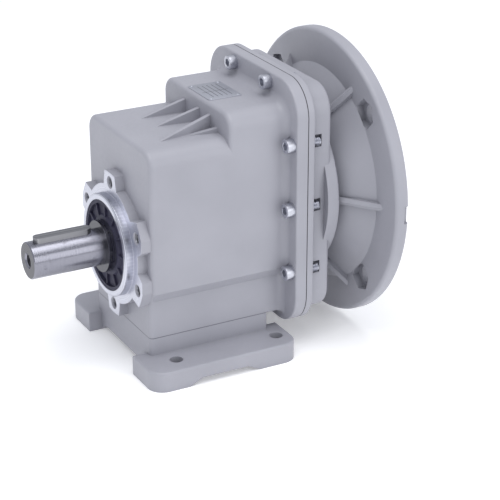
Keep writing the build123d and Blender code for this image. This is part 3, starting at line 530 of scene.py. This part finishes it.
def screwMesh(look):
    count = look["pointsRound"]
    core = look["threadRadiusMm"]
    head = look["headRadiusMm"]
    top = -look["headHeightMm"]
    edge = look["edgeMm"]
    wave = look["threadWaveMm"]
    apothem = look["socketAcrossMm"] / 2

    def even(radius):
        return lambda angle: radius

    def thread(x):
        return lambda angle: core - wave + wave * math.cos(2 * math.pi * x / look["pitchMm"] - angle)

    def knurl(angle):
        inGroove = round(angle * count / (2 * math.pi)) % 2
        return head - (look["knurlDepthMm"] if inGroove else 0.0)

    def hexagon(scale):
        def radiusAt(angle):
            turn = (angle + math.pi / 6) % (math.pi / 3) - math.pi / 6
            return min(scale * apothem / math.cos(turn), head - edge - look["socketRimMm"])
        return radiusAt

    # x grows from the head towards the thread's tip, with the seat under the head at 0
    pointDepth, pointRadius = look["drillPointMm"]
    edgeX, edgeR = look["edgeFoldMm"]
    knurlEnd, knurlStop = look["knurlEndsMm"]
    knurlFloor = head - look["knurlDepthMm"]
    plainEnd = look["lengthMm"] - look["threadedTipMm"]
    rings = [
        (top + look["socketDepthMm"] + pointDepth, even(pointRadius)),
        (top + look["socketDepthMm"], hexagon(look["socketTaper"])),
        (top + look["socketChamferMm"], hexagon(1.0)),
        (top, hexagon(look["socketFlare"])),
        (top, even(head - edge)),
        (top + edgeX, even(head - edgeR)),
        (top + edge, knurl),
        (-knurlEnd, knurl),
        (-knurlStop, even(knurlFloor)),
        (-look["seatLiftMm"], even(knurlFloor)),
        (-look["seatLiftMm"], even(core)),
        (plainEnd, even(core)),
    ]
    steps = int(look["threadedTipMm"] / look["pitchMm"] * look["stepsPerTurn"])
    for step in range(1, steps - look["tipSteps"]):
        x = plainEnd + look["threadedTipMm"] * step / steps
        rings.append((x, thread(x)))
    wide, narrow = look["tipRadiiMm"]
    rings.append((look["lengthMm"] - look["tipMm"], even(wide)))
    rings.append((look["lengthMm"], even(narrow)))
    return ringMesh("screw", rings, count)


def placeByNodes(name, pieceMesh, points, material, seed):
    # Geometry Nodes: the piece at each point, turned about X by a seeded random angle
    source = bpy.data.objects.new(name + " source", pieceMesh)
    bpy.context.scene.collection.objects.link(source)
    carrier = bpy.data.meshes.new(name)
    carrier.from_pydata(points, [], [])
    obj = bpy.data.objects.new(name, carrier)
    bpy.context.scene.collection.objects.link(obj)
    tree = bpy.data.node_groups.new(name + " placing", "GeometryNodeTree")
    sockets = {}
    for label, kind in (
        ("Geometry", "NodeSocketGeometry"),
        ("Piece", "NodeSocketObject"),
        ("Finish", "NodeSocketMaterial"),
        ("Seed", "NodeSocketInt"),
        ("Largest Turn", "NodeSocketFloat"),
    ):
        sockets[label] = tree.interface.new_socket(label, in_out="INPUT", socket_type=kind).identifier
    tree.interface.new_socket("Geometry", in_out="OUTPUT", socket_type="NodeSocketGeometry")
    entry = addNode(tree, "NodeGroupInput")
    piece = addNode(tree, "GeometryNodeObjectInfo", {"Object": entry.outputs["Piece"]})
    turn = addNode(
        tree, "FunctionNodeRandomValue",
        {"Min": 0.0, "Max": entry.outputs["Largest Turn"], "Seed": entry.outputs["Seed"]},
        data_type="FLOAT",
    )
    spots = addNode(
        tree, "GeometryNodeInstanceOnPoints",
        {
            "Points": entry.outputs["Geometry"],
            "Instance": piece.outputs["Geometry"],
            "Rotation": addNode(tree, "ShaderNodeCombineXYZ", {"X": turn}),
        },
    )
    solid = addNode(tree, "GeometryNodeRealizeInstances", {0: spots})
    dressed = addNode(
        tree, "GeometryNodeSetMaterial", {"Geometry": solid, "Material": entry.outputs["Finish"]}
    )
    addNode(tree, "NodeGroupOutput", {0: dressed})
    modifier = obj.modifiers.new("placing", "NODES")
    modifier.node_group = tree
    modifier[sockets["Piece"]] = source
    modifier[sockets["Finish"]] = material
    modifier[sockets["Seed"]] = seed
    modifier[sockets["Largest Turn"]] = 2 * math.pi
    graph = bpy.context.evaluated_depsgraph_get()
    graph.update()
    done = bpy.data.meshes.new_from_object(obj.evaluated_get(graph))
    obj.modifiers.clear()
    obj.data = done
    done.name = name
    bpy.data.objects.remove(source)
    return obj


def smoothByAngle(obj, degrees):
    mesh = bmesh.new()
    mesh.from_mesh(obj.data)
    for face in mesh.faces:
        face.smooth = True
    for edge in mesh.edges:
        edge.smooth = len(edge.link_faces) == 2 and edge.calc_face_angle(0) < math.radians(degrees)
    mesh.to_mesh(obj.data)
    mesh.free()


def headTops(nodeName):
    # Lowest X, and centre in Y and Z, of each separate solid in a node, from a merged copy
    mesh = bmesh.new()
    mesh.from_mesh(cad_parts[nodeName].data)
    bmesh.ops.remove_doubles(mesh, verts=mesh.verts, dist=0.001 * mm)
    left = set(mesh.verts)
    places = []
    while left:
        start = left.pop()
        patch = [start]
        queue = [start]
        while queue:
            vert = queue.pop()
            for edge in vert.link_edges:
                other = edge.other_vert(vert)
                if other in left:
                    left.remove(other)
                    patch.append(other)
                    queue.append(other)
        xs, ys, zs = zip(*[vert.co for vert in patch])
        places.append((min(xs), (min(ys) + max(ys)) / 2, (min(zs) + max(zs)) / 2))
    mesh.free()
    return sorted(places)


seats = [(x + screwLook["headHeightMm"] * mm, y, z) for x, y, z in headTops("cover_screws")]
coverScrews = placeByNodes(
    "cover_screws_detailed", screwMesh(screwLook), seats, zincMaterial, screwLook["seed"]
)
smoothByAngle(coverScrews, screwLook["smoothDeg"])
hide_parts("cover_screws")
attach(coverScrews, "housing")
print("cover screws placed:", len(seats))


# Cut threads inside the six ear holes and the shaft's centre hole
earThreadLook = {
    "boreMm": 6.8,
    "pitchMm": 1.25,
    "lengthMm": 9.0,
    "startXMm": -56.0,
    "circleMm": 87.0,
    "anglesDeg": (25, 90, 155, 205, 270, 335),
    "seed": 3,
}
centreThreadLook = {
    "boreMm": 8.5,
    "pitchMm": 1.5,
    "lengthMm": 19.0,
    "startXMm": -115.3,
    "seed": 5,
}
liningLook = {
    "gapMm": 0.01,  # between the lining and the bore that it sits in
    "skinMm": 0.03,
    "crestShare": 0.28,
    "stepsPerTurn": 8,
    "pointsRound": 40,
    "smoothDeg": 40,
}


def threadLining(name, thread, look):
    # A thin tube inside a bore whose inner side winds in crests; it starts at x = 0
    wall = thread["boreMm"] / 2 - look["gapMm"]
    crest = thread["pitchMm"] * look["crestShare"]
    length = thread["lengthMm"]

    def outer(angle):
        return wall

    def wound(x):
        def radiusAt(angle):
            phase = (x / thread["pitchMm"] - angle / (2 * math.pi)) % 1.0
            return wall - look["skinMm"] - crest * (1 - abs(2 * phase - 1))
        return radiusAt

    steps = int(length / thread["pitchMm"] * look["stepsPerTurn"])
    rings = [(length, outer), (0.0, outer)]
    for step in range(steps + 1):
        x = length * step / steps
        rings.append((x, wound(x)))
    return ringMesh(name, rings, look["pointsRound"], tube=True)


shaftHeight = axisHeights["output"]
earPlaces = []
for degrees in earThreadLook["anglesDeg"]:
    angle = math.radians(degrees)
    reach = earThreadLook["circleMm"] / 2
    rise = shaftHeight + reach * math.sin(angle)
    earPlaces.append((earThreadLook["startXMm"] * mm, reach * math.cos(angle) * mm, rise * mm))
earThreads = placeByNodes(
    "ear_hole_threads", threadLining("ear thread", earThreadLook, liningLook), earPlaces,
    turnedSteel("tapped cast aluminium", tappedAluminiumLook, "X", shaftHeight), earThreadLook["seed"],
)
centreThread = placeByNodes(
    "centre_hole_thread", threadLining("centre thread", centreThreadLook, liningLook),
    [(centreThreadLook["startXMm"] * mm, 0.0, shaftHeight * mm)],
    turnedSteel("tapped shaft steel, painted shade", shadedHoleSteelLook, "X", shaftHeight), centreThreadLook["seed"],
)
smoothByAngle(earThreads, liningLook["smoothDeg"])
smoothByAngle(centreThread, liningLook["smoothDeg"])
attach(earThreads, "housing")
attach(centreThread, "output_shaft")
print("threads cut")


# Nameplate: a bare anodised aluminium plate with ruled empty rows and four domed rivets.
# Anodising makes the sheet matt and even, with a faint brushed grain under it.
plateLook = {
    "lengthMm": 24.0,
    "widthMm": 33.0,
    "thicknessMm": 0.5,
    "bevelMm": 0.12,
    "cornerMm": 1.6,
    "cornerSteps": 5,
    "centreXMm": 20.5,
    "topMm": 174.0,
    "rivetRadiusMm": 1.1,
    "rivetInsetMm": 2.2,
    "rivetRiseMm": 0.55,
    "rivetTopMm": 0.02,
    "rivetPoints": 16,
    "rowPitchMm": 3.4,
    "ruleMm": 0.45,
    "columnMm": -1.2,
    "marginMm": (2.6, 4.6),
    "light": "#BDBFC8",
    "dark": "#A2A4AD",
    "ink": "#3C3E48",
    "grainLinesPerMm": 6.0,
    "roughness": (0.34, 0.5),
    "metallic": 0.6,
    "smoothDeg": 40,
}


def nameplateMaterial(look):
    material, tree, shader = newMaterial("anodised nameplate sheet")
    place = addNode(tree, "ShaderNodeTexCoord").outputs["Object"]
    split = addNode(tree, "ShaderNodeSeparateXYZ", {0: place})
    halfRule = look["ruleMm"] / 2 * mm
    marginX, marginY = look["marginMm"]
    along = addNode(
        tree, "ShaderNodeMath", {0: split.outputs["X"], 1: look["centreXMm"] * mm}, operation="SUBTRACT"
    )
    rows = addNode(
        tree, "ShaderNodeMath", {0: along, 1: look["rowPitchMm"] / 2 * mm}, operation="PINGPONG"
    )
    onRow = addNode(tree, "ShaderNodeMath", {0: rows, 1: halfRule}, operation="LESS_THAN")
    onColumn = addNode(
        tree, "ShaderNodeMath", {0: split.outputs["Y"], 1: look["columnMm"] * mm, 2: halfRule},
        operation="COMPARE",
    )
    inLength = addNode(
        tree, "ShaderNodeMath", {0: along, 1: 0.0, 2: (look["lengthMm"] / 2 - marginX) * mm},
        operation="COMPARE",
    )
    inWidth = addNode(
        tree, "ShaderNodeMath", {0: split.outputs["Y"], 1: 0.0, 2: (look["widthMm"] / 2 - marginY) * mm},
        operation="COMPARE",
    )
    onRule = addNode(tree, "ShaderNodeMath", {0: onRow, 1: onColumn}, operation="MAXIMUM")
    inside = addNode(tree, "ShaderNodeMath", {0: inLength, 1: inWidth}, operation="MULTIPLY")
    inked = addNode(tree, "ShaderNodeMath", {0: onRule, 1: inside}, operation="MULTIPLY")
    grain = addNode(
        tree, "ShaderNodeTexNoise",
        {"W": split.outputs["X"], "Scale": look["grainLinesPerMm"] / mm, "Detail": 2.0},
        noise_dimensions="1D",
    )
    grainShare = addNode(
        tree, "ShaderNodeMapRange", {"Value": grain, "From Min": noiseLow, "From Max": noiseHigh}
    )
    sheet = addNode(
        tree, "ShaderNodeMix",
        {"Factor": grainShare, "A": linearColour(look["dark"]), "B": linearColour(look["light"])},
        data_type="RGBA",
    )
    roughLow, roughHigh = look["roughness"]
    setInputs(tree, shader, {
        "Base Color": addNode(
            tree, "ShaderNodeMix", {"Factor": inked, "A": sheet, "B": linearColour(look["ink"])},
            data_type="RGBA",
        ),
        "Roughness": addNode(
            tree, "ShaderNodeMapRange",
            {
                "Value": grain, "From Min": noiseLow, "From Max": noiseHigh,
                "To Min": roughLow, "To Max": roughHigh,
            },
        ),
        "Metallic": look["metallic"],
    })
    return material


def makeNameplate(look):
    mesh = bmesh.new()

    def addRing(points, heightMm):
        return [mesh.verts.new((x * mm, y * mm, heightMm * mm)) for x, y in points]

    def joinRings(first, second):
        for step in range(len(first)):
            after = (step + 1) % len(first)
            mesh.faces.new((first[step], first[after], second[after], second[step]))

    halfX = look["lengthMm"] / 2
    halfY = look["widthMm"] / 2
    corner = look["cornerMm"]
    outline = []
    for signX, signY, start in ((1, 1, 0), (-1, 1, 90), (-1, -1, 180), (1, -1, 270)):
        for step in range(look["cornerSteps"] + 1):
            angle = math.radians(start + 90 / look["cornerSteps"] * step)
            outline.append((
                signX * (halfX - corner) + corner * math.cos(angle),
                signY * (halfY - corner) + corner * math.sin(angle),
            ))
    plateTop = look["topMm"] + look["thicknessMm"]
    rings = []
    for height, inset in (
        (look["topMm"], 0.0), (plateTop - look["bevelMm"], 0.0), (plateTop, look["bevelMm"])
    ):
        rings.append(addRing(
            [(look["centreXMm"] + x * (1 - inset / halfX), y * (1 - inset / halfY)) for x, y in outline],
            height,
        ))
    for first, second in zip(rings, rings[1:]):
        joinRings(first, second)
    mesh.faces.new(rings[-1])
    mesh.faces.new(rings[0][::-1])
    turns = [2 * math.pi * k / look["rivetPoints"] for k in range(look["rivetPoints"])]
    for signX, signY in ((-1, -1), (-1, 1), (1, -1), (1, 1)):
        x = look["centreXMm"] + signX * (halfX - look["rivetInsetMm"])
        y = signY * (halfY - look["rivetInsetMm"])
        rings = []
        for degrees in (0, 30, 60, 90):  # from the dome's foot to its top
            lift = math.sin(math.radians(degrees)) * look["rivetRiseMm"]
            radius = math.cos(math.radians(degrees)) * look["rivetRadiusMm"] + look["rivetTopMm"]
            rings.append(addRing(
                [(x + radius * math.cos(t), y + radius * math.sin(t)) for t in turns], plateTop + lift
            ))
        for first, second in zip(rings, rings[1:]):
            joinRings(first, second)
        mesh.faces.new(rings[-1])
    bmesh.ops.recalc_face_normals(mesh, faces=mesh.faces)
    data = bpy.data.meshes.new("nameplate")
    mesh.to_mesh(data)
    mesh.free()
    data.materials.append(nameplateMaterial(look))
    obj = bpy.data.objects.new("nameplate", data)
    bpy.context.scene.collection.objects.link(obj)
    return obj


nameplate = makeNameplate(plateLook)
smoothByAngle(nameplate, plateLook["smoothDeg"])
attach(nameplate, "housing")
print("nameplate made")


# Stage: a white paper floor, two soft boxes and the photograph's camera.
# The floor glows a little, so that it stays as white as the backdrop.
stageLook = {
    "floorColour": "#FFFFFF",
    "floorGlow": 0.2,
    "floorHalf": 6.0,
    "floorRoughness": (0.85, 0.95),
    "paperGrainMm": 16.67,
    "worldColour": "#F4F7FF",
    "worldStrength": 0.66,
    "lightTarget": (0.0, 0.0, 0.1),
    "overheadPlace": (-0.1, -0.3, 1.45),
    "overheadSide": 1.2,
    "overheadPower": 11.5,
    "frontPlace": (0.7, -1.5, 0.7),
    "frontSide": 1.0,
    "frontPower": 4.5,
    "sensorMm": 36.0,
    "nearestMm": 10.0,
    "lensMm": 123.48,
    "eyeMm": (-470.7, -962.1, 533.1),
    "azimuthDeg": -28.29,
    "elevationDeg": 23.69,
}
paper, paperTree, paperShader = newMaterial("matt white backdrop paper")
paperGrain = addNode(
    paperTree, "ShaderNodeTexNoise",
    {
        "Vector": addNode(paperTree, "ShaderNodeTexCoord").outputs["Object"],
        "Scale": 1 / (stageLook["paperGrainMm"] * mm),
        "Detail": 3.0,
    },
)
paperLow, paperHigh = stageLook["floorRoughness"]
setInputs(paperTree, paperShader, {
    "Base Color": linearColour(stageLook["floorColour"]),
    "Emission Color": linearColour(stageLook["floorColour"]),
    "Emission Strength": stageLook["floorGlow"],
    "Roughness": addNode(
        paperTree, "ShaderNodeMapRange",
        {
            "Value": paperGrain, "From Min": noiseLow, "From Max": noiseHigh,
            "To Min": paperLow, "To Max": paperHigh,
        },
    ),
})
far = stageLook["floorHalf"]
floorMesh = bpy.data.meshes.new("floor")
floorMesh.from_pydata([(-far, -far, 0), (far, -far, 0), (far, far, 0), (-far, far, 0)], [], [(0, 1, 2, 3)])
floorMesh.materials.append(paper)
floor = bpy.data.objects.new("floor", floorMesh)
bpy.context.scene.collection.objects.link(floor)

world = bpy.data.worlds.new("studio")
world.use_nodes = True
setInputs(world.node_tree, world.node_tree.nodes["Background"], {
    "Color": linearColour(stageLook["worldColour"]),
    "Strength": stageLook["worldStrength"],
})
bpy.context.scene.world = world
bpy.context.scene.view_settings.view_transform = "Standard"


def softBox(name, place, side, power):
    light = bpy.data.lights.new(name, "AREA")
    light.shape = "RECTANGLE"
    light.size = side
    light.size_y = side
    light.energy = power
    obj = bpy.data.objects.new(name, light)
    obj.location = place
    aim = Vector(stageLook["lightTarget"]) - Vector(place)
    obj.rotation_euler = aim.to_track_quat("-Z", "Y").to_euler()
    bpy.context.scene.collection.objects.link(obj)


softBox(
    "soft box overhead", stageLook["overheadPlace"], stageLook["overheadSide"], stageLook["overheadPower"]
)
softBox("soft box front right", stageLook["frontPlace"], stageLook["frontSide"], stageLook["frontPower"])

camera = bpy.data.cameras.new("camera")
camera.sensor_width = stageLook["sensorMm"]
camera.lens = stageLook["lensMm"]
camera.clip_start = stageLook["nearestMm"] * mm
cameraObject = bpy.data.objects.new("camera", camera)
cameraObject.location = [v * mm for v in stageLook["eyeMm"]]
turn = math.radians(stageLook["azimuthDeg"])
tilt = math.radians(stageLook["elevationDeg"])
sight = Vector((-math.sin(turn) * math.cos(tilt), math.cos(turn) * math.cos(tilt), -math.sin(tilt)))
cameraObject.rotation_euler = sight.to_track_quat("-Z", "Y").to_euler()
bpy.context.scene.collection.objects.link(cameraObject)
bpy.context.scene.camera = cameraObject
print("stage set")
